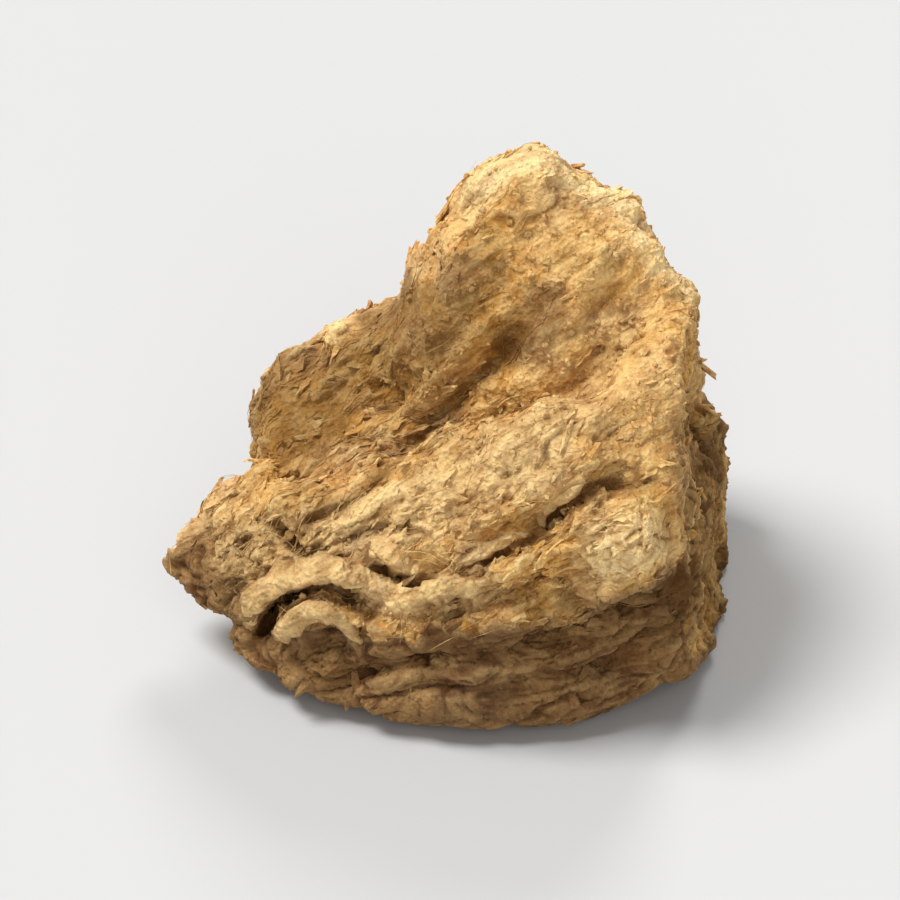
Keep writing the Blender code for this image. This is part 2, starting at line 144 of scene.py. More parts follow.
class Skin:
    """The points of a worked skin, with their normals and the edges between them."""

    def __init__(self, mesh):
        self.mesh = mesh
        self.count = len(mesh.vertices)
        place = np.empty(self.count * 3)
        mesh.vertices.foreach_get("co", place)
        self.place = place.reshape(-1, 3)
        edges = np.empty(len(mesh.edges) * 2, np.int64)
        mesh.edges.foreach_get("vertices", edges)
        self.edges = edges.reshape(-1, 2)
        self.links = np.bincount(self.edges.ravel(), minlength=self.count)
        self.drift = [noise_at(self.place + start, 0.9) for start in (0.0, 50.0)]
        self.refresh()

    def refresh(self):
        self.mesh.vertices.foreach_set("co", self.place.ravel())
        self.mesh.update()
        normal = np.empty(self.count * 3)
        self.mesh.vertices.foreach_get("normal", normal)
        self.normal = normal.reshape(-1, 3)

    def push(self, amount):
        """Moves each point by so much along its normal, in millimetres."""
        self.place += self.normal * np.asarray(amount)[:, None]
        self.refresh()

    def stretched(self, way, stretch):
        """The places drawn together along a way, so that a pattern there runs along it."""
        along = (self.place @ way)[:, None] * way
        return self.place - along + along / stretch

    def beside(self, values):
        """The mean of each point's neighbours."""
        a, b = self.edges[:, 0], self.edges[:, 1]
        columns = values.reshape(self.count, -1)
        total = [
            np.bincount(a, columns[b, i], self.count) + np.bincount(b, columns[a, i], self.count)
            for i in range(columns.shape[1])
        ]
        return (np.stack(total, axis=1) / self.links[:, None]).reshape(values.shape)

    def eased(self, values, passes):
        """The values evened out over so many rings of neighbours."""
        for _ in range(passes):
            values = 0.5 * values + 0.5 * self.beside(values)
        return values

    def standing(self, passes):
        """How far each point stands out of its surroundings, in millimetres."""
        return ((self.place - self.eased(self.place, passes)) * self.normal).sum(axis=1)


class Side:
    """A side as it is looked at: a point is seen so far right and up, in millimetres."""

    def __init__(self, azimuth, elevation):
        turn, tilt = math.radians(azimuth), math.radians(elevation)
        level = math.cos(tilt)
        self.right = np.array((math.cos(turn), math.sin(turn), 0.0))
        self.near = np.array((math.sin(turn) * level, -math.cos(turn) * level, math.sin(tilt)))
        self.up = np.cross(self.near, self.right)

    def seen(self, skin, wander):
        """Where each point is seen, led astray a little so that no mark runs smoothly."""
        flat = np.stack((skin.place @ self.right, skin.place @ self.up), axis=1)
        return flat + wander * np.stack(skin.drift, axis=1)

    def facing(self, skin):
        """How far each point faces this side, from 0 to 1."""
        return smooth_step(skin.normal @ self.near, 0.0, 0.3)


# The side that the camera looks from, which the marks on the front are laid out for
FRONT = Side(azimuth=0.0, elevation=38.0)


def distance_to(path, flat):
    """How far each point is from the path, and how far along the path it lies, from 0 to 1."""
    path = np.asarray(path)
    lengths = np.linalg.norm(np.diff(path, axis=0), axis=1)
    before = np.concatenate(((0.0,), np.cumsum(lengths)))
    best = np.full(len(flat), np.inf)
    along = np.zeros(len(flat))
    for index, length in enumerate(lengths):
        start, run = path[index], path[index + 1] - path[index]
        share = np.clip((flat - start) @ run / length**2, 0.0, 1.0)
        gap = np.linalg.norm(flat - start - share[:, None] * run, axis=1)
        nearer = gap < best
        best[nearer] = gap[nearer]
        along[nearer] = (before[index] + share[nearer] * length) / before[-1]
    return best, along


def stroke(skin, side, width, height, path, wander=0.08):
    """Works one stroke into the skin: a ridge for a height above nought, else a furrow."""
    gap, along = distance_to(path, side.seen(skin, wander))
    profile = np.clip(1.0 - gap / width, 0.0, 1.0) ** 1.3
    ends = smooth_step(np.minimum(along, 1.0 - along), -0.03, 0.12)
    skin.push(height * profile * ends * side.facing(skin))


# Where the flesh stands out as a bulge over the belly: its middle, radius and shift, in millimetres
BULGE = ((4.2, -4.15, 5.0), 1.15, (0.10, -0.34, 0.10))

# Marks on the front that are both worked and stained, as seen so far right and up, in millimetres
CRACK_LEFT = ((0.1, 0.85), (0.7, 0.95), (1.1, 1.3), (1.5, 1.5), (2.0, 1.6))
CRACK_MIDDLE = ((2.1, 1.8), (2.35, 2.15), (2.7, 2.45), (3.1, 2.6))
SLOT = ((-1.8, 1.05), (-1.35, 0.85), (-0.85, 0.72), (-0.4, 0.78))
LEAF = ((-1.7, 1.5), (-1.2, 1.15), (-0.7, 0.8))
PALE_LIP = ((-1.5, 0.2), (-0.95, 0.1), (-0.4, 0.5), (0.1, 0.65), (0.6, 0.4))
OUTER_EDGE = ((-4.65, -0.5), (-4.3, 0.2), (-3.8, 0.65), (-2.9, 0.85), (-2.0, 0.9))
INNER_EDGE = (
    (-4.05, -0.75), (-3.6, -0.2), (-3.2, 0.0), (-2.8, -0.05), (-2.4, -0.35), (-1.9, -1.1),
)
EDGE_SLOT = ((-4.35, -0.6), (-4.05, -0.15), (-3.7, 0.15), (-3.4, 0.28))
LOW_CRINKLE = ((-4.1, 2.0), (-3.6, 1.6), (-3.3, 1.3), (-2.9, 1.45), (-2.0, 1.75), (-0.9, 1.95))
HIGH_CRINKLE = ((-3.3, 2.0), (-2.6, 2.25), (-2.0, 2.65), (-1.5, 3.05))
CRINKLE_RIDGE = ((-2.8, 1.75), (-2.2, 2.0), (-1.6, 2.4), (-1.05, 2.8))
KNOT = ((-4.95, 1.2), (-5.0, 1.6), (-4.7, 1.85), (-4.35, 1.75), (-4.25, 1.4), (-4.5, 1.15))
KNOT_DIP = ((-4.75, 1.45), (-4.55, 1.5))

# Strokes on the front, as half width, height and path, in millimetres
FRONT_STROKES = (
    # The crack under the bar, and the dark slot that carries it on to the left
    (0.24, -0.22, CRACK_LEFT),
    (0.20, -0.12, ((1.7, 1.55), (2.1, 1.7), (2.4, 2.0))),
    (0.32, -0.23, CRACK_MIDDLE),
    (0.20, -0.16, ((2.9, 2.55), (3.4, 2.8), (4.1, 2.9), (4.7, 3.05))),
    (0.18, -0.42, SLOT),
    # The torn furrow that runs down from the hollow in the face
    (0.35, -0.06, ((2.1, 6.8), (1.5, 6.1), (1.1, 5.6), (0.4, 4.9), (-0.8, 3.8), (-1.9, 3.1))),
    # The two curled edges of bark on the left of the belly, and the dark slots under them
    (0.20, 0.12, OUTER_EDGE),
    (0.17, -0.38, EDGE_SLOT),
    (0.18, -0.08, ((-3.4, 0.35), (-2.8, 0.4), (-2.2, 0.2), (-1.7, -0.2))),
    (0.20, 0.12, INNER_EDGE),
    (0.40, -0.10, ((-3.1, -1.1), (-2.8, -1.3))),
    # A leaf of tissue over the slot, and the pale lip under the crack
    (0.20, 0.08, LEAF),
    (0.20, 0.10, PALE_LIP),
    # Crinkles across the left of the bar
    (0.19, -0.24, LOW_CRINKLE),
    (0.26, 0.15, CRINKLE_RIDGE),
    (0.18, -0.19, HIGH_CRINKLE),
    (0.17, -0.16, ((-3.9, 0.95), (-3.3, 1.05), (-2.7, 1.2), (-2.1, 1.3))),
    # A knot on the tail, with a dip in its middle
    (0.20, 0.12, KNOT),
    (0.24, -0.10, KNOT_DIP),
    # The nub on the shoulder's edge, and small pits
    (0.38, 0.24, ((-2.7, 6.25), (-2.3, 6.4))),
    (0.20, -0.22, ((-0.85, 2.1), (-0.55, 2.2))),
    (0.18, -0.22, ((3.75, 5.85), (4.0, 5.8))),
    (0.18, -0.20, ((-1.8, 5.0), (-1.4, 5.15))),
    # Wrinkles of the bark along the belly
    (0.16, 0.05, ((-1.4, -1.7), (0.0, -2.0), (1.5, -2.0), (3.1, -1.7), (4.2, -1.1))),
    (0.16, 0.05, ((-0.7, -1.1), (0.6, -1.35), (2.2, -1.2), (3.7, -0.7), (4.7, 0.0))),
)

# The pale rim of the peak, partly a painted highlight, from its left foot over the top to the right
PEAK_RIM_LEFT = ((-0.6, 7.9), (0.2, 8.9), (0.9, 9.8), (1.7, 10.3), (2.5, 10.0))
PEAK_RIM_RIGHT = ((3.3, 9.5), (4.1, 9.2), (4.5, 8.4), (4.9, 7.7), (5.5, 7.3))

# Stains, bleaching, painted shade and painted highlights on the front, as radius, strength and
# path: a strength above nought darkens towards brown, one below it pales
FRONT_STAINS_AND_SHADING = (
    # Painted shade in the hollow of the face and the furrow under it, and a darker shoulder and tail
    (0.75, 0.64, ((2.1, 6.9), (1.9, 6.4), (1.5, 6.1))),
    (0.45, 0.48, ((1.5, 6.1), (1.1, 5.6), (0.4, 4.9), (-0.2, 4.3), (-0.8, 3.8), (-1.6, 3.2))),
    (2.00, 0.68, ((-3.8, 4.4), (-2.6, 4.9), (-1.4, 5.8), (-0.4, 7.0), (0.0, 7.8))),
    (0.90, 0.30, ((-5.6, 1.2), (-4.4, 1.6), (-3.2, 2.4))),
    # Painted shade in the crack and the slots
    (0.30, 0.45, CRACK_LEFT),
    (0.42, 0.45, CRACK_MIDDLE),
    (0.30, 0.50, ((3.0, 2.6), (3.6, 2.75), (4.4, 2.95))),
    (0.22, 0.90, SLOT),
    (0.26, 1.10, EDGE_SLOT),
    (0.30, 0.30, ((-3.3, 0.35), (-2.6, 0.35), (-2.0, 0.1), (-1.7, -0.3))),
    (0.60, 0.35, ((-3.2, -1.1), (-2.9, -0.9), (-2.6, -1.4))),
    # Painted shade on the right end
    (1.20, 0.60, ((5.6, 3.8), (5.9, 2.4), (5.9, 1.0), (5.7, 0.2))),
    # The bark under the bulge
    (0.45, 0.50, ((2.6, 0.35), (3.6, 0.15), (4.4, 0.35), (5.0, 0.9))),
    (0.90, 0.30, ((-0.6, -0.5), (0.8, -0.4), (2.2, -0.2))),
    (0.70, 0.35, ((2.6, -1.0), (4.4, -0.4), (5.2, 0.6))),
    # Pale edges that also carry a painted highlight: the curled bark, the leaf over the slot, the
    # lip and the nub
    (0.26, -0.90, OUTER_EDGE),
    (0.20, -0.80, INNER_EDGE),
    (0.24, -0.80, LEAF),
    (0.26, -0.80, PALE_LIP),
    (0.45, -1.00, ((-2.7, 6.3), (-2.3, 6.45))),
    # A painted highlight on the ridge between the crinkles of the bar, and painted shade in the
    # crinkles and in the knot's dip
    (0.26, -0.50, CRINKLE_RIDGE),
    (0.24, 0.45, LOW_CRINKLE),
    (0.22, 0.40, HIGH_CRINKLE),
    (0.20, 0.45, KNOT_DIP),
    # Paler flesh: a painted highlight on the bulge, bleached flesh on the bar and the right of the
    # peak, and the peak's pale rim with a painted highlight
    (1.15, -1.00, ((3.7, 1.3), (4.4, 1.6))),
    (1.10, -0.50, ((-0.6, 2.4), (1.4, 3.6), (2.2, 3.95))),
    (0.60, -0.90, PEAK_RIM_LEFT + PEAK_RIM_RIGHT),
    (1.70, -0.30, ((1.0, 8.4), (2.4, 8.8), (3.4, 8.0), (4.0, 6.9), (4.2, 6.0))),
    (0.34, -0.50, ((-2.0, 4.3), (-1.65, 4.4))),
)

# Where the front is faded to a greyer tan, as radius, share and path: the tail, the left of the
# bar and the curled bark
FRONT_FADING = (
    (1.50, 0.60, ((-5.6, 1.2), (-4.2, 1.2), (-2.8, 1.5))),
    (1.30, 0.65, ((-3.0, 1.6), (-1.2, 2.1), (0.6, 2.9), (2.0, 3.5))),
    (0.90, 0.70, ((-4.5, -0.3), (-3.6, 0.5), (-2.4, 0.7), (-1.2, 0.3), (0.4, 0.5))),
)

root_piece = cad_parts["root_piece"]
root_body = bpy.data.objects.new("root_body", root_piece.data.copy())
bpy.context.scene.collection.objects.link(root_body)
root_body.data.transform(Matrix.Scale(1.0 / MM, 4))
root_body.data.materials.clear()
object_mode(root_body, "EDIT")
bpy.ops.mesh.select_all(action="SELECT")
bpy.ops.mesh.remove_doubles(threshold=0.0005)
bpy.ops.object.mode_set(mode="OBJECT")
remesh = root_body.modifiers.new("fine_skin", "REMESH")
remesh.mode = "VOXEL"
remesh.voxel_size = SKIN_CELL
easing = root_body.modifiers.new("easing", "SMOOTH")
easing.factor = EASING_SHARE
easing.iterations = EASING_PASSES
apply_all(root_body)

skin = Skin(root_body.data)
middle, radius, shift = BULGE
gap = np.linalg.norm(skin.place - middle, axis=1) / radius
skin.place += (np.clip(1.0 - gap**2, 0.0, 1.0) ** 2)[:, None] * shift
skin.refresh()

# Where bark is left, and where the skin is crosscut, from 0 to 1
waver = BARK_WAVER * noise_at(skin.place, 1.1) + BARK_FRAY * noise_at(skin.place, 0.45)
waver += BARK_FINE_FRAY * noise_at(skin.place, 0.15) + BARK_SWAY * noise_at(skin.place + 60.0, 2.6)
depth_in_bark = BARK_TOP + BARK_RISE * skin.place[:, 0] + waver - skin.place[:, 2]
broad_normal = unit(skin.eased(skin.normal, 30))
crosscut = smooth_step(broad_normal @ CROSSCUT, 0.75, 0.92)
rim = skin.eased(crosscut, 60) + 0.10 * noise_at(skin.place, 0.5)
rim = 1.0 - smooth_step(rim, 0.80, 0.90)
bark = smooth_step(depth_in_bark, -0.06, 0.06) * np.maximum(1.0 - crosscut, rim)
flesh = 1.0 - bark

stain = np.zeros(skin.count)
seen = FRONT.seen(skin, 0.12)
ragged = 0.16 * noise_at(skin.place, 0.22)
for radius, strength, path in FRONT_STAINS_AND_SHADING:
    gap = distance_to(path, seen)[0] + ragged * min(1.0, 2.0 * radius)
    stain += strength * (1.0 - smooth_step(gap, 0.35 * radius, radius)) * FRONT.facing(skin)

faded = 0.35 * smooth_step(noise_at(skin.place + 80.0, 1.8), 0.1, 0.6)
for radius, share, path in FRONT_FADING:
    gap = distance_to(path, seen)[0] + 2.0 * ragged
    patch = share * (1.0 - smooth_step(gap, 0.3 * radius, radius)) * FRONT.facing(skin)
    faded = np.maximum(faded, patch)


def astray(places, amount, width):
    """The places shifted about, so that a pattern there loses its evenness."""
    drift = [noise_at(places + start, width) for start in (0.0, 20.0, 40.0)]
    return places + amount * np.stack(drift, axis=1)


def crests(places, width, steepness=2.2):
    """Sharp crests, 1 along their tops, where a noise of this width passes nought."""
    return 1.0 - steepness * np.abs(noise_at(places, width))


def beside_lines(places, width, thickness):
    """0 along thin lines, where a noise of this width passes nought, and 1 beside them."""
    return smooth_step(np.abs(noise_at(places, width)), 0.0, thickness)


# The drying, as patterns that lie mostly between 0 and 1: ridges, threads, splits, ledges, meal and
# pits in the flesh, wrinkles and checks in the bark, rays and rings on the crosscut. A number added
# to the places moves a pattern on, so that no two are alike.

# How far the patterns are drawn out along the fibres of the flesh, and along the bark
GRAIN_STRETCH = 4.0
BARK_STRETCH = 3.2

# The width of each pattern's marks, in millimetres
RIDGE_WIDTH, THREAD_WIDTH, SPLIT_WIDTH, LAYER_WIDTH = 0.42, 0.20, 0.85, 1.0
MEAL_WIDTH, FINE_MEAL_WIDTH, PIT_WIDTH, DUCT_WIDTH = 0.42, 0.26, 0.95, 0.62
WRINKLE_WIDTH, FINE_WRINKLE_WIDTH, CHECK_WIDTH = 0.62, 0.24, 0.8
RAY_WIDTH, RING_WIDTH = 0.30, 0.5

unstained = 1.0 - np.clip(stain, 0.0, 1.0)
long_marks = astray(skin.stretched(GRAIN, GRAIN_STRETCH), 0.22, 0.6)
ridges = crests(long_marks, RIDGE_WIDTH)
threads = crests(long_marks + 11.0, THREAD_WIDTH)
splits = (1.0 - beside_lines(long_marks + 70.0, SPLIT_WIDTH, 0.08)) * unstained
layers = 3.0 * noise_at(astray(skin.stretched(GRAIN, 1.8), 0.3, 0.5) + 35.0, LAYER_WIDTH)
layers -= np.floor(layers)
ledges = smooth_step(layers, 0.0, 0.22) - layers
meal_edge = cells_at(astray(skin.stretched(GRAIN, 1.6), 0.22, 0.5), MEAL_WIDTH)[1]
meal_near = cells_at(astray(skin.place, 0.10, 0.2) + 7.0, FINE_MEAL_WIDTH)[0]
meal = smooth_step(meal_edge, 0.0, 0.45) - 0.5 + 0.8 * (meal_near - 0.5)
pit_near = cells_at(astray(skin.stretched(GRAIN, 1.5), 0.2, 0.4) + 90.0, PIT_WIDTH)[0]
pits = (1.0 - smooth_step(pit_near, 0.08, 0.24)) * unstained
torn = 0.3 + 0.7 * smooth_step(noise_at(skin.place + 30.0, 1.6), -0.35, 0.25)
mealy = 1.0 - 0.7 * torn
bark_marks = astray(skin.stretched(BARK_GRAIN, BARK_STRETCH), 0.35, 0.7)
wrinkles = beside_lines(bark_marks, WRINKLE_WIDTH, 0.22)
fine_wrinkles = beside_lines(bark_marks + 20.0, FINE_WRINKLE_WIDTH, 0.20)
checks = 1.0 - beside_lines(astray(skin.place, 0.3, 0.5) + 45.0, CHECK_WIDTH, 0.05)
from_pith = skin.place[:, 1:] - PITH
turn = np.arctan2(from_pith[:, 1], from_pith[:, 0])
reach = np.hypot(from_pith[:, 1], from_pith[:, 0])
ray_marks = np.stack((np.cos(turn) * 3.2, np.sin(turn) * 3.2, reach * 0.22), axis=1)
rays = 1.0 - beside_lines(ray_marks + 0.05 * skin.drift[0][:, None], RAY_WIDTH, 0.16)
rings = noise_at(np.stack((reach * 1.6, np.cos(turn), np.sin(turn)), axis=1), RING_WIDTH)
side_flesh = flesh * (1.0 - crosscut)

# How far each pattern stands out or goes in, in millimetres
RIDGE, THREAD, LEDGE, SPLIT, MEAL, PIT = 0.05, 0.045, 0.10, 0.10, 0.055, 0.16
BARK, WRINKLE, FINE_WRINKLE, CHECK, BARK_LIP = 0.08, 0.11, 0.05, 0.05, 0.07
CROSSCUT_MEAL, RAY, RING, UNEVENNESS = 0.05, 0.09, 0.03, 0.03

relief = side_flesh * (RIDGE * (ridges - 0.45) * (0.3 + 0.5 * torn) + THREAD * (threads - 0.45))
relief += side_flesh * (LEDGE * ledges * torn - SPLIT * splits * torn + MEAL * meal * mealy)
relief *= 1.0 - 0.55 * smooth_step(skin.place[:, 2], 5.0, 7.5)
relief -= PIT * flesh * pits * (1.0 - 0.5 * crosscut)
relief += bark * (
    BARK + WRINKLE * (wrinkles - 0.7) + FINE_WRINKLE * (fine_wrinkles - 0.7) - CHECK * checks
)
relief += bark * BARK_LIP * (1.0 - smooth_step(depth_in_bark, 0.0, 0.45))
relief += crosscut * (CROSSCUT_MEAL * meal - RAY * rays + RING * rings)
relief += UNEVENNESS * noise_at(skin.place, 0.3)
off_base = smooth_step(skin.place[:, 2], 0.0, 0.25)
skin.push(relief * off_base)
for width, height, path in FRONT_STROKES:
    stroke(skin, FRONT, width, height, path)

# What the material is told at each point, from 0 to 1: how much is bark, the stain and painted
# shading (bleached or a painted highlight below a half, browner or painted shade above it), how
# faded it is, and how far the point stands out of its near and wider surroundings, a half being
# level with them, which the material turns into painted shade in hollows and painted highlight on
# crests. The spans are the millimetres that go from 0 to 1, and a point counts as raised when it
# stands out of its near surroundings by so many millimetres.
FINE_SPAN, BROAD_SPAN = 0.10, 0.6
RAISED = 0.03

duct_near = cells_at(skin.place + 15.0, DUCT_WIDTH)[0]
# The crosscut is browner at its oil ducts and along its rays; the darkening in the splits of the
# flesh is painted shade
stain += 0.7 * crosscut * (1.0 - smooth_step(duct_near, 0.10, 0.20)) * smooth_step(reach, 1.0, 2.0)
stain += crosscut * (0.10 + 0.30 * rays) + 0.30 * side_flesh * splits * torn
fine = skin.standing(8)
broad = skin.standing(60)
keep_on(
    root_body.data,
    bark=bark,
    stain=np.clip(0.5 + 0.5 * stain, 0.0, 1.0),
    faded=faded,
    fine_rise=np.clip(0.5 + fine / FINE_SPAN, 0.0, 1.0),
    broad_rise=np.clip(0.5 + broad / BROAD_SPAN, 0.0, 1.0),
)
thinning = root_body.modifiers.new("thinning", "DECIMATE")
thinning.ratio = SKIN_KEPT
apply_all(root_body)
root_body.data.transform(Matrix.Scale(MM, 4))
root_body.data.update()


def shade(red, green, blue):
    """A colour as it is seen on a screen, from 0 to 255, in the linear form that shaders take."""
    linear = [
        v / 12.92 if v <= 0.04045 else ((v + 0.055) / 1.055) ** 2.4
        for v in (red / 255.0, green / 255.0, blue / 255.0)
    ]
    return (*linear, 1.0)


def node(tree, kind, inputs=(), **settings):
    """A node with these settings; each of its inputs is given a socket to join or a value."""
    made = tree.nodes.new(kind)
    for name, value in settings.items():
        setattr(made, name, value)
    for name, value in dict(inputs).items():
        if isinstance(value, bpy.types.NodeSocket):
            tree.links.new(value, made.inputs[name])
        else:
            made.inputs[name].default_value = value
    return made


def noise_map(tree, places, scale, detail, roughness=0.5):
    """The grey value of a noise texture."""
    inputs = {"Vector": places, "Scale": scale, "Detail": detail, "Roughness": roughness}
    return node(tree, "ShaderNodeTexNoise", inputs).outputs["Fac"]


def attribute(tree, name):
    """A value that was kept at each point, by its name."""
    return node(tree, "ShaderNodeAttribute", attribute_name=name).outputs["Fac"]


def mixed(tree, share, first, second):
    """A mix of two colours; each of the three is a socket or a value."""
    mix = node(tree, "ShaderNodeMix", {0: share, 6: first, 7: second}, data_type="RGBA")
    return mix.outputs[2]


def ramp(tree, value, stops):
    """A colour ramp of grey stops, as (position, value)."""
    made = node(tree, "ShaderNodeValToRGB", {0: value})
    elements = made.color_ramp.elements
    while len(elements) < len(stops):
        elements.new(0.5)
    for element, (position, level) in zip(elements, stops):
        element.position = position
        element.color = (level, level, level, 1.0)
    return made.outputs[0]


def layered(tree, colour, layers):
    """The colour with others laid over it, each as a value, its ramp if any, and the colour."""
    for value, stops, other in layers:
        colour = mixed(tree, ramp(tree, value, stops) if stops else value, colour, other)
    return colour


material = bpy.data.materials.new("dried_root")
material.use_nodes = True
tree = material.node_tree
coords = node(tree, "ShaderNodeTexCoord").outputs["Object"]
grain_turn = Vector(GRAIN).to_track_quat("X", "Z").to_euler()
along_grain = node(
    tree,
    "ShaderNodeMapping",
    {"Vector": coords, "Rotation": grain_turn, "Scale": (6.0, 1.0, 1.0)},
    vector_type="TEXTURE",
).outputs["Vector"]
mottle = noise_map(tree, coords, 900.0, 3.0)
tint = noise_map(tree, coords, 650.0, 2.0)
blotch = noise_map(tree, coords, 1900.0, 1.5)
speck = noise_map(tree, coords, 9000.0, 4.0, 0.65)
streak = noise_map(tree, along_grain, 5000.0, 3.0)
grain_cells = node(
    tree,
    "ShaderNodeTexVoronoi",
    {"Vector": coords, "Scale": 9500.0, "Randomness": 1.0},
    feature="F1",
).outputs["Distance"]
bark_here = attribute(tree, "bark")
stained = attribute(tree, "stain")
faded_here = attribute(tree, "faded")
fine_rise = attribute(tree, "fine_rise")
broad_rise = attribute(tree, "broad_rise")
mottled = ramp(tree, mottle, ((0.35, 0.0), (0.65, 1.0)))

# The flesh is orange tan: greyer where it is faded, paler where it is bleached, with a painted
# highlight where the stain marks or the surface stand out, and painted shade in its hollows and
# pores
flesh_colour = layered(
    tree,
    mixed(tree, mottled, shade(222, 160, 72), shade(212, 162, 88)),
    (
        (tint, ((0.42, 0.0), (0.70, 0.8)), shade(198, 158, 114)),
        (faded_here, None, shade(206, 176, 130)),
        # Paler where bleached or where the stain marks paint a highlight, whitest where they are
        # strongest
        (stained, ((0.0, 0.9), (0.5, 0.0)), shade(255, 218, 152)),
        (stained, ((0.0, 0.4), (0.15, 0.0)), shade(255, 232, 180)),
        (streak, ((0.36, 0.45), (0.5, 0.0)), shade(150, 100, 42)),
        (streak, ((0.52, 0.0), (0.64, 0.35)), shade(240, 206, 142)),
        (blotch, ((0.30, 0.5), (0.5, 0.0)), shade(164, 110, 50)),
        (blotch, ((0.50, 0.0), (0.70, 0.5)), shade(248, 208, 136)),
        # Painted shade in near and broad hollows, and painted highlight where the surface stands out
        (fine_rise, ((0.05, 0.45), (0.45, 0.0)), shade(138, 90, 34)),
        (fine_rise, ((0.60, 0.0), (0.95, 0.5)), shade(250, 218, 152)),
        (broad_rise, ((0.1, 0.9), (0.52, 0.0)), shade(112, 72, 30)),
        (broad_rise, ((0.6, 0.0), (0.95, 0.8)), shade(250, 218, 150)),
        (speck, ((0.36, 0.25), (0.5, 0.0)), shade(132, 84, 32)),
        (speck, ((0.52, 0.0), (0.66, 0.25)), shade(250, 222, 162)),
    ),
)

# The bark is brown, with a painted highlight along its wrinkles and painted shade between them
bark_colour = layered(
    tree,
    mixed(tree, mottled, shade(116, 74, 38), shade(164, 126, 78)),
    (
        (tint, ((0.42, 0.0), (0.70, 0.6)), shade(112, 88, 62)),
        (blotch, ((0.30, 0.5), (0.5, 0.0)), shade(92, 58, 28)),
        (blotch, ((0.50, 0.0), (0.70, 0.5)), shade(172, 134, 84)),
        # Painted shade between the wrinkles, and painted highlight along them
        (fine_rise, ((0.05, 0.7), (0.5, 0.0)), shade(68, 46, 24)),
        (fine_rise, ((0.60, 0.0), (0.95, 0.5)), shade(184, 150, 100)),
        (speck, ((0.36, 0.25), (0.5, 0.0)), shade(72, 48, 24)),
        (speck, ((0.54, 0.0), (0.70, 0.22)), shade(176, 146, 104)),
    ),
)
colour = mixed(tree, bark_here, flesh_colour, bark_colour)
# Browner where stained, and darker where the stain marks paint shade
brown_and_shade = ramp(tree, stained, ((0.5, 0.0), (1.0, 0.85)))
colour = mixed(tree, brown_and_shade, colour, shade(92, 58, 20))

surface = tree.nodes["Principled BSDF"]
tree.links.new(colour, surface.inputs["Base Color"])
surface.inputs["Roughness"].default_value = 0.95
surface.inputs["Specular IOR Level"].default_value = 0.2

# Fine bumps, each as its pattern, strength and depth in metres, on top of the one before
FINE_BUMPS = ((speck, 1.0, 0.00006), (grain_cells, 1.0, 0.00004), (streak, 0.8, 0.00006))
bumped = {}
for height, strength, depth in FINE_BUMPS:
    inputs = {"Height": height, "Strength": strength, "Distance": depth, **bumped}
    bumped = {"Normal": node(tree, "ShaderNodeBump", inputs).outputs["Normal"]}
tree.links.new(bumped["Normal"], surface.inputs["Normal"])
root_body.data.materials.append(material)
root_body.data.shade_smooth()
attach(root_body, "root")
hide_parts("root_piece")

# Curled edges of bark and of torn tissue, each a thin sheet that dried, shrank and lifted. They are
# grown to the root along one side, and stand over the dark slots beside them.

# Where the longer edges run on the front, as seen so far right and up, in millimetres
OUTER_CURL = ((-4.65, -0.5), (-4.3, 0.2), (-3.8, 0.65), (-2.9, 0.85), (-2.0, 0.85), (-1.5, 0.5))
INNER_CURL = (
    (-4.05, -0.75), (-3.6, -0.15), (-3.2, 0.05), (-2.8, 0.0), (-2.4, -0.3), (-2.05, -0.8),
)
# Each as the sheet's size, the side that it is seated on (1 above its edge, -1 below it), its
# thickness in millimetres, its bark share, and where its edge runs
CURLS = (
    (0.95, 1, 0.10, 0.1, OUTER_CURL),
    (0.85, -1, 0.09, 0.1, INNER_CURL),
    (0.75, 1, 0.08, 0.0, ((-1.85, 1.6), (-1.4, 1.25), (-0.95, 0.98))),
    (0.80, -1, 0.09, 0.1, ((-1.5, 0.25), (-0.95, 0.15), (-0.4, 0.55), (0.1, 0.7), (0.6, 0.45))),
    (0.65, 1, 0.07, 0.0, ((0.0, 1.1), (0.6, 1.2), (1.1, 1.55), (1.8, 1.85))),
    (0.60, 1, 0.06, 0.0, ((2.0, 2.05), (2.4, 2.45), (3.0, 2.8))),
)
# A sheet's section from its seat to its free edge, as across and up from the skin, in millimetres
# at full size
CURL_SECTION = (
    (0.42, -0.22), (0.33, -0.09), (0.21, 0.02), (0.08, 0.10),
    (-0.04, 0.13), (-0.14, 0.10), (-0.19, 0.03), (-0.16, -0.06),
)
# How far apart the sections stand, and how far a sheet's two ends are sunk, in millimetres
CURL_STEP = 0.09
CURL_END_SINK = 0.14


def walked(path, step):
    """Points an even step apart along the path."""
    path = np.asarray(path)
    lengths = np.concatenate(((0.0,), np.cumsum(np.linalg.norm(np.diff(path, axis=0), axis=1))))
    at = np.linspace(0.0, lengths[-1], max(6, int(lengths[-1] / step)))
    return np.stack([np.interp(at, lengths, path[:, i]) for i in range(path.shape[1])], axis=1)


def seats_on(side, path, within=0.12):
    """The nearest skin point that the side shows at each point of the path."""
    flat = np.stack((skin.place @ side.right, skin.place @ side.up), axis=1)
    nearness = skin.place @ side.near
    found = []
    for point in path:
        gap = np.linalg.norm(flat - point, axis=1)
        found.append(int(np.argmax(np.where(gap < within, nearness, -1e9) - gap)))
    return np.array(found)


def thicken(obj, thickness):
    solidify = obj.modifiers.new("thickness", "SOLIDIFY")
    solidify.thickness = thickness
    solidify.offset = 0.0


def softened(values, passes):
    """The values along a line with their kinks evened out."""
    for _ in range(passes):
        inner = 0.25 * values[:-2] + 0.5 * values[1:-1] + 0.25 * values[2:]
        values = np.concatenate((values[:1], inner, values[-1:]))
    return values


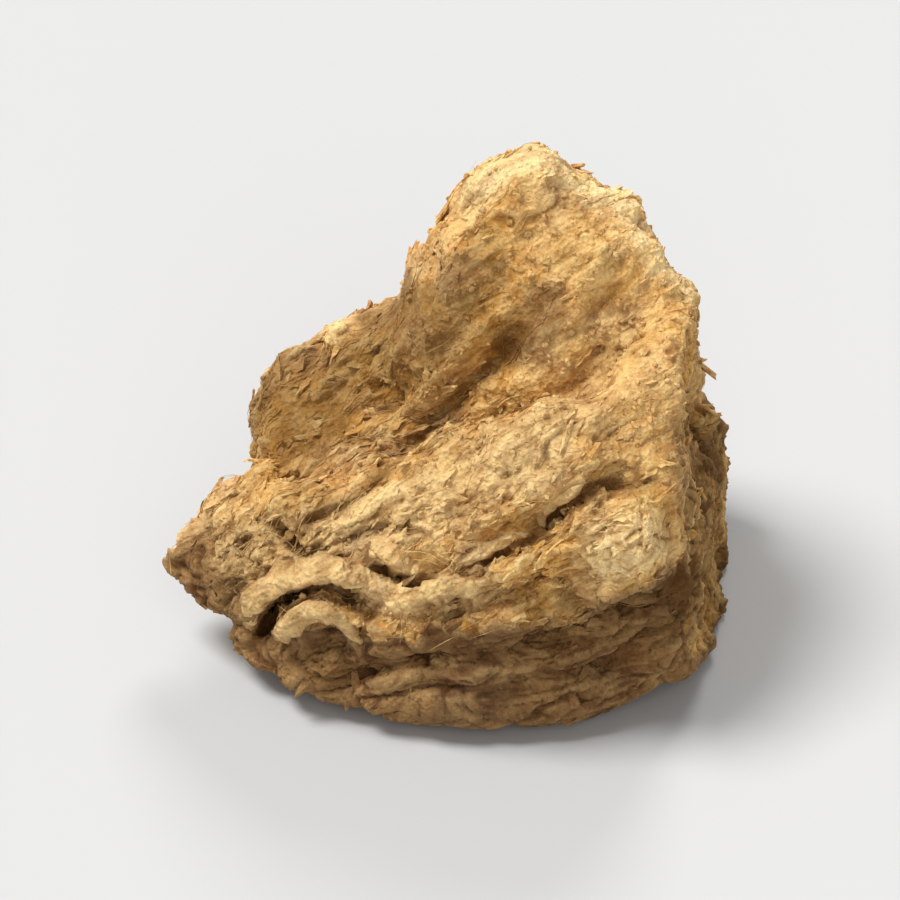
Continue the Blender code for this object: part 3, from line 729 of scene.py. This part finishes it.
for number, (scale, seated, thickness, bark_share, path) in enumerate(CURLS):
    seats = seats_on(FRONT, walked(path, CURL_STEP))
    spine = softened(skin.place[seats], 4)
    out = unit(softened(broad_normal[seats], 6))
    run = unit(np.gradient(spine, axis=0))
    across = seated * unit(np.cross(out, run))
    stations = len(spine)
    ends = np.sin(np.pi * np.linspace(0.0, 1.0, stations)) ** 0.6
    wave = 1.0 + 0.45 * noise_at(spine + 3.0 * number, 0.42) + 0.25 * noise_at(spine, 0.17)
    sections = []
    for row, (sideways, upwards) in enumerate(CURL_SECTION):
        worn = noise_at(spine + 0.35 * row, 0.30) + 0.5 * noise_at(spine + 0.35 * row, 0.13)
        raised = upwards * np.where(upwards > 0.0, ends * wave, 1.0)
        lift = raised - CURL_END_SINK * (1.0 - ends) + 0.05 * worn
        aside = sideways * (0.45 + 0.55 * ends) * (1.0 + 0.6 * worn)
        sections.append(spine + scale * (aside[:, None] * across + lift[:, None] * out))
    places = np.concatenate(sections)
    bpy.ops.object.select_all(action="DESELECT")
    bpy.ops.mesh.primitive_grid_add(
        x_subdivisions=stations - 1,
        y_subdivisions=len(CURL_SECTION) - 1,
        size=1.0,
        location=(0.0, 0.0, 0.0),
    )
    curl = bpy.context.object
    curl.name = "curl_%d" % (number + 1)
    for vert, place in zip(curl.data.vertices, places):
        vert.co = place
    # Along each sheet's section, a painted highlight on its middle and painted shade towards its
    # seat and its free edge
    rows = np.sin(np.pi * np.repeat(np.linspace(0.0, 1.0, len(CURL_SECTION)), stations))
    keep_on(
        curl.data,
        bark=np.clip(bark_share + 0.5 * noise_at(places + 9.0, 0.5), 0.0, 0.6),
        stain=0.62 - 0.32 * rows + 0.15 * noise_at(places, 0.35),
        fine_rise=0.30 + 0.35 * rows + 0.35 * noise_at(places, 0.12),
        broad_rise=0.45 + 0.2 * rows,
        faded=np.full(len(places), 0.6),
    )
    thicken(curl, thickness)
    finer = curl.modifiers.new("finer", "SUBSURF")
    finer.levels = finer.render_levels = 2
    apply_all(curl)
    curl_skin = Skin(curl.data)
    curl_threads = crests(curl_skin.stretched(GRAIN, GRAIN_STRETCH) + 11.0, 0.16)
    roughness = 0.03 * noise_at(curl_skin.place, 0.13) + 0.04 * noise_at(curl_skin.place, 0.3)
    curl_skin.push(roughness + 0.03 * curl_threads)
    curl.data.transform(Matrix.Scale(MM, 4))
    curl.data.materials.append(material)
    curl.data.shade_smooth()
    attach(curl, "root")

# Small leaves of torn tissue, that splitting the root left lifted along the grain. One is a short
# thin sheet, and its copies are cut to their own size, bent, and seated in the skin at one end.

# How many there are, and the rows of points along one
FLAKE_COUNT = 2200
FLAKE_ROWS = 5
# Their lengths, the thickness of a long one and how deep one end is seated, in millimetres, and
# their widths and how far the free end is lifted, as shares of the length
FLAKE_LENGTHS = (0.10, 0.52)
FLAKE_THICKNESS = 0.08
FLAKE_SEAT = 0.03
FLAKE_WIDTHS = (0.28, 0.60)
FLAKE_LIFTS = (0.02, 0.26)

draw = np.random.default_rng(41)
bpy.ops.object.select_all(action="DESELECT")
bpy.ops.mesh.primitive_grid_add(
    x_subdivisions=2, y_subdivisions=FLAKE_ROWS - 1, size=1.0, location=(0.0, 0.0, 0.0)
)
flakes = bpy.context.object
flakes.name = "torn_flakes"
thicken(flakes, FLAKE_THICKNESS)
apply_all(flakes)
leaf = np.array([vert.co for vert in flakes.data.vertices])
leaf_faces = [list(face.vertices)[::-1] for face in flakes.data.polygons]


def copies_of(obj, points, faces, **kept):
    """Gives the object the mesh of all its copies, in metres, with the kept values."""
    count, each = points.shape[:2]
    all_faces = [
        [number * each + corner for corner in face] for number in range(count) for face in faces
    ]
    mesh = bpy.data.meshes.new(obj.name)
    mesh.from_pydata((points.reshape(-1, 3) * MM).tolist(), [], all_faces)
    for name, values in kept.items():
        keep_on(mesh, **{name: np.broadcast_to(values, (count, each)).reshape(-1)})
    mesh.validate()
    obj.data = mesh
    mesh.materials.append(material)


def spread(low, high, shape, power=1.0):
    """Random numbers between the two, gathered near the lower one by a power above 1."""
    return low + (high - low) * draw.random(shape) ** power


def headings(count, stray, reversed_share):
    """Random turns off the grain, in radians, with this share of them facing backwards."""
    return draw.normal(0.0, stray, count) + np.pi * (draw.random(count) < reversed_share)


def lying_frame(seats, way, turn_by):
    """Along, across and out of the skin at each seat, turned about the skin's normal."""
    out = broad_normal[seats]
    run = unit(way - (out @ way)[:, None] * out)
    across = np.cross(out, run)
    cos, sin = np.cos(turn_by)[:, None], np.sin(turn_by)[:, None]
    return cos * run + sin * across, cos * across - sin * run, out


# Flakes and fibres keep this far off the part's box, in millimetres, so that it keeps its size
BOX_MARGIN = 0.2
low, high = (np.array(corner) / MM for corner in cad_box)
inside = np.all((skin.place > low + BOX_MARGIN) & (skin.place < high - BOX_MARGIN), axis=1)

# How frayed the skin is, less so towards the peak, and how likely a flake is to be seated at each
# point: on torn, raised flesh, clear of the crosscut and the curls
fray = torn * (1.0 - 0.85 * smooth_step(skin.place[:, 2], 5.5, 8.0))
likely = off_base * inside * (0.12 + 0.88 * fray) * (0.30 + 0.70 * side_flesh)
likely *= skin.place[:, 2] > 0.4
likely *= (1.0 - crosscut) * (0.6 + 1.5 * np.clip(fine / RAISED, 0.0, 1.0))
for *_, path in CURLS:
    likely *= smooth_step(distance_to(path, seen)[0], 0.15, 0.35)
seats = draw.choice(skin.count, FLAKE_COUNT, p=likely / likely.sum())
run, across, out = lying_frame(seats, GRAIN, headings(FLAKE_COUNT, 0.45, 0.4))
one_each = (FLAKE_COUNT, 1)
at_each_point = (FLAKE_COUNT, len(leaf))
length = spread(*FLAKE_LENGTHS, FLAKE_COUNT, 2.2)[:, None]
width = length * spread(*FLAKE_WIDTHS, one_each)
lift = length * spread(*FLAKE_LIFTS, one_each, 1.8)
side_way, along, up = leaf.T[:, None]
share = along + 0.5
ragged_edge = 1.0 + 0.35 * draw.normal(size=at_each_point)
ragged_end = 1.0 + 0.12 * draw.normal(size=at_each_point) * (share > 0.8)
reach_out = length * share * ragged_end
side_out = width * side_way * (1.05 - 0.75 * share**1.5) * ragged_edge
side_out += width * spread(-0.5, 0.5, one_each) * share**2
cupped = width * 0.25 * (1.0 - 4.0 * side_way**2) * spread(-1.0, 1.0, one_each)
bend = lift * share**1.7 - FLAKE_SEAT + cupped + up * (0.5 + 0.5 * length)
points = skin.place[seats][:, None] + reach_out[..., None] * run[:, None]
points += side_out[..., None] * across[:, None] + bend[..., None] * out[:, None]
# Each flake gets a painted highlight towards its lifted free end, and the skin's stains and painted
# shading where it is seated
copies_of(
    flakes,
    points,
    leaf_faces,
    bark=bark[seats][:, None],
    stain=np.clip(0.5 + 0.5 * stain[seats][:, None] - 0.06 * share, 0.0, 1.0),
    fine_rise=np.clip(0.45 + 0.35 * share + spread(-0.15, 0.15, one_each), 0.0, 1.0),
    broad_rise=np.clip(0.5 + broad[seats][:, None] / BROAD_SPAN, 0.3, 1.0),
    faded=faded[seats][:, None],
)
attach(flakes, "root")

# Fibres pulled out of the flesh where it split: tapered threads that lie along the skin, grown to
# it at one end and frayed free at the other. Each is a thin three-sided taper.

# How many there are, the sides of one and the rings of points along it
FIBRE_COUNT = 800
FIBRE_SIDES = 3
FIBRE_STEPS = 8
# Their lengths, radii at the seat, how far the middle lies above the skin there and how far the
# free end is lifted, in millimetres, how much they thin on the way, and how they wander each step
FIBRE_LENGTHS = (0.35, 1.7)
FIBRE_RADII = (0.010, 0.026)
FIBRE_SEAT = 0.012
FIBRE_LIFTS = (0.0, 0.16)
FIBRE_TAPER = 0.85
FIBRE_WANDER = 0.16

# This taper only gives the object. The points of all of them are walked along the skin below.
bpy.ops.object.select_all(action="DESELECT")
bpy.ops.mesh.primitive_cone_add(
    vertices=FIBRE_SIDES, radius1=1.0, radius2=0.0, depth=1.0, location=(0.0, 0.0, 0.0)
)
fibres = bpy.context.object
fibres.name = "torn_fibres"
skin_tree = kdtree.KDTree(skin.count)
for index, place in enumerate(skin.place):
    skin_tree.insert(place, index)
skin_tree.balance()
likely = off_base * inside * (0.1 + fray) * side_flesh * (skin.place[:, 2] > 0.6)
seats = draw.choice(skin.count, FIBRE_COUNT, p=likely / likely.sum())
run, across, out = lying_frame(seats, GRAIN, headings(FIBRE_COUNT, 0.22, 0.5))
length = spread(*FIBRE_LENGTHS, FIBRE_COUNT, 1.6)
thickest = spread(*FIBRE_RADII, FIBRE_COUNT, 1.5)
lift = spread(*FIBRE_LIFTS, FIBRE_COUNT, 2.0)
points = np.empty((FIBRE_COUNT, FIBRE_SIDES * FIBRE_STEPS, 3))
for number in range(FIBRE_COUNT):
    here, way = skin.place[seats[number]], run[number]
    for step in range(FIBRE_STEPS):
        share = step / (FIBRE_STEPS - 1)
        found, index, _ = skin_tree.find(here)
        normal = broad_normal[index]
        here = here - normal * ((here - np.array(found)) @ normal)
        way = unit(way - (way @ normal) * normal)
        beside = np.cross(normal, way)
        radius = thickest[number] * (1.0 - FIBRE_TAPER * share)
        centre = here + normal * (FIBRE_SEAT + lift[number] * share**2)
        for side in range(FIBRE_SIDES):
            angle = 2.0 * np.pi * side / FIBRE_SIDES
            spoke = np.cos(angle) * beside + np.sin(angle) * normal
            points[number, FIBRE_SIDES * step + side] = centre + radius * spoke
        here = here + way * length[number] / (FIBRE_STEPS - 1)
        way = way + FIBRE_WANDER * draw.normal() * beside
fibre_faces = []
for start in range(0, FIBRE_SIDES * (FIBRE_STEPS - 1), FIBRE_SIDES):
    for side in range(FIBRE_SIDES):
        a, b = start + side, start + (side + 1) % FIBRE_SIDES
        fibre_faces.append((a, b, b + FIBRE_SIDES, a + FIBRE_SIDES))
last = FIBRE_SIDES * (FIBRE_STEPS - 1)
fibre_faces += [(2, 1, 0), (last, last + 1, last + 2)]
# Each fibre gets a painted highlight towards its lifted free end
share = np.repeat(np.linspace(0.0, 1.0, FIBRE_STEPS), FIBRE_SIDES)
fibre_shading = 0.55 + 0.25 * share + spread(-0.2, 0.15, (FIBRE_COUNT, 1))
copies_of(
    fibres,
    points,
    fibre_faces,
    bark=bark[seats][:, None],
    stain=np.clip(0.48 + 0.4 * stain[seats][:, None], 0.0, 1.0),
    fine_rise=np.clip(fibre_shading, 0.0, 1.0),
    broad_rise=np.clip(0.5 + broad[seats][:, None] / BROAD_SPAN, 0.35, 1.0),
    faded=faded[seats][:, None],
)
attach(fibres, "root")

# Crumbs of dried tissue that cutting and rubbing left clinging to the flesh. One is a small angular
# lump, and its copies are squashed, turned and sunk into the skin.

# How many there are, and their sizes in millimetres
CRUMB_COUNT = 3800
CRUMB_SIZES = (0.030, 0.13)

bpy.ops.object.select_all(action="DESELECT")
bpy.ops.mesh.primitive_ico_sphere_add(subdivisions=1, radius=1.0, location=(0.0, 0.0, 0.0))
crumbs = bpy.context.object
crumbs.name = "crumbs"
ball = np.array([vert.co for vert in crumbs.data.vertices])
ball_faces = [list(face.vertices) for face in crumbs.data.polygons]


def turns(count):
    """A random turn for each of so many things, as matrices."""
    w, x, y, z = unit(draw.normal(size=(count, 4))).T
    rows = (
        (1 - 2 * (y * y + z * z), 2 * (x * y - z * w), 2 * (x * z + y * w)),
        (2 * (x * y + z * w), 1 - 2 * (x * x + z * z), 2 * (y * z - x * w)),
        (2 * (x * z - y * w), 2 * (y * z + x * w), 1 - 2 * (x * x + y * y)),
    )
    return np.array(rows).transpose(2, 0, 1)


likely = (0.02 + flesh) * off_base * (1.1 - 0.8 * fray) * (skin.place[:, 2] > 0.3)
likely *= (1.0 - smooth_step(stain, 0.55, 0.8)) * (0.35 + np.clip(-fine / RAISED, 0.0, 1.5))
seats = draw.choice(skin.count, CRUMB_COUNT, p=likely / likely.sum())
size = spread(*CRUMB_SIZES, CRUMB_COUNT, 3.0)
squash = size[:, None] * (0.35 + 0.9 * draw.random((CRUMB_COUNT, 3)))
shape = ball[None] * (0.55 + 0.8 * draw.random((CRUMB_COUNT, len(ball), 1)))
shape = np.einsum("nij,nkj->nki", turns(CRUMB_COUNT), shape * squash[:, None])
copies_of(
    crumbs,
    shape + (skin.place[seats] + 0.1 * size[:, None] * skin.normal[seats])[:, None],
    ball_faces,
    bark=0.7 * bark[seats][:, None],
    stain=np.clip(0.5 + 0.5 * stain[seats], 0.0, 1.0)[:, None],
    fine_rise=np.clip(0.40 + 0.5 * draw.random(CRUMB_COUNT), 0.0, 1.0)[:, None],
    broad_rise=np.clip(0.5 + broad[seats] / BROAD_SPAN, 0.3, 1.0)[:, None],
    faded=faded[seats][:, None],
)
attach(crumbs, "root")

# The floor is a wide sheet of matt pale grey, as in a studio. It isn't part of the piece, which
# only rests on it.
bpy.ops.object.select_all(action="DESELECT")
bpy.ops.mesh.primitive_plane_add(size=2.0, location=(0.0, 0.0, 0.0))
floor = bpy.context.object
floor.name = "floor"
floor_material = bpy.data.materials.new("pale_floor")
floor_material.use_nodes = True
floor_surface = floor_material.node_tree.nodes["Principled BSDF"]
floor_surface.inputs["Base Color"].default_value = (0.53, 0.53, 0.525, 1.0)
floor_surface.inputs["Roughness"].default_value = 1.0
floor_surface.inputs["Specular IOR Level"].default_value = 0.0
floor.data.materials.append(floor_material)

# Three soft lights, each as the way towards it, how wide it looks in degrees, and its strength: the
# main one high on the left, a weak one that fills the front, and one that lights the back's edges
LIGHTS = {
    "high_left": ((-0.50, 0.08, 1.0), 24.0, 3.2),
    "front_fill": ((0.15, -1.0, 0.7), 50.0, 0.72),
    "back_edge": ((0.25, 1.0, 0.75), 20.0, 1.5),
}
for name, (towards, angle, strength) in LIGHTS.items():
    lamp = bpy.data.lights.new(name, "SUN")
    lamp.angle = math.radians(angle)
    lamp.energy = strength
    light = bpy.data.objects.new(name, lamp)
    light.rotation_euler = Vector(towards).to_track_quat("Z", "Y").to_euler()
    bpy.context.scene.collection.objects.link(light)

# A plain pale sky, dimmer overhead, as (height, brightness). At the horizon it is as bright as the
# floor looks there, so that no line shows between the two.
SKY_BY_HEIGHT = ((0.0, 0.87), (0.08, 0.68), (0.35, 0.27))
world = bpy.data.worlds.new("studio")
world.use_nodes = True
sky = world.node_tree
background = sky.nodes["Background"]
upward = node(sky, "ShaderNodeTexCoord").outputs["Generated"]
height = node(sky, "ShaderNodeSeparateXYZ", {"Vector": upward}).outputs["Z"]
background.inputs["Color"].default_value = (0.98, 0.98, 0.985, 1.0)
sky.links.new(ramp(sky, height, SKY_BY_HEIGHT), background.inputs["Strength"])
bpy.context.scene.world = world

# The camera looks at the middle of the piece from the front, from far off for its size, so that
# near and far parts keep their sizes. Lengths are in metres, and the sensor's in millimetres.
CAMERA_DISTANCE = 0.16
VIEW_WIDTH = 0.0205
VIEW_MIDDLE = Vector((0.0, 0.0, 0.0046))
camera_data = bpy.data.cameras.new("camera")
camera_data.sensor_width = 36.0
camera_data.lens = camera_data.sensor_width * CAMERA_DISTANCE / VIEW_WIDTH
camera_data.clip_start = 0.002
camera_data.clip_end = 20.0
camera = bpy.data.objects.new("camera", camera_data)
bpy.context.scene.collection.objects.link(camera)
away = Vector(FRONT.near)
camera.location = VIEW_MIDDLE + away * CAMERA_DISTANCE
camera.rotation_euler = (-away).to_track_quat("-Z", "Y").to_euler()
bpy.context.scene.camera = camera
bpy.context.scene.view_settings.view_transform = "Standard"
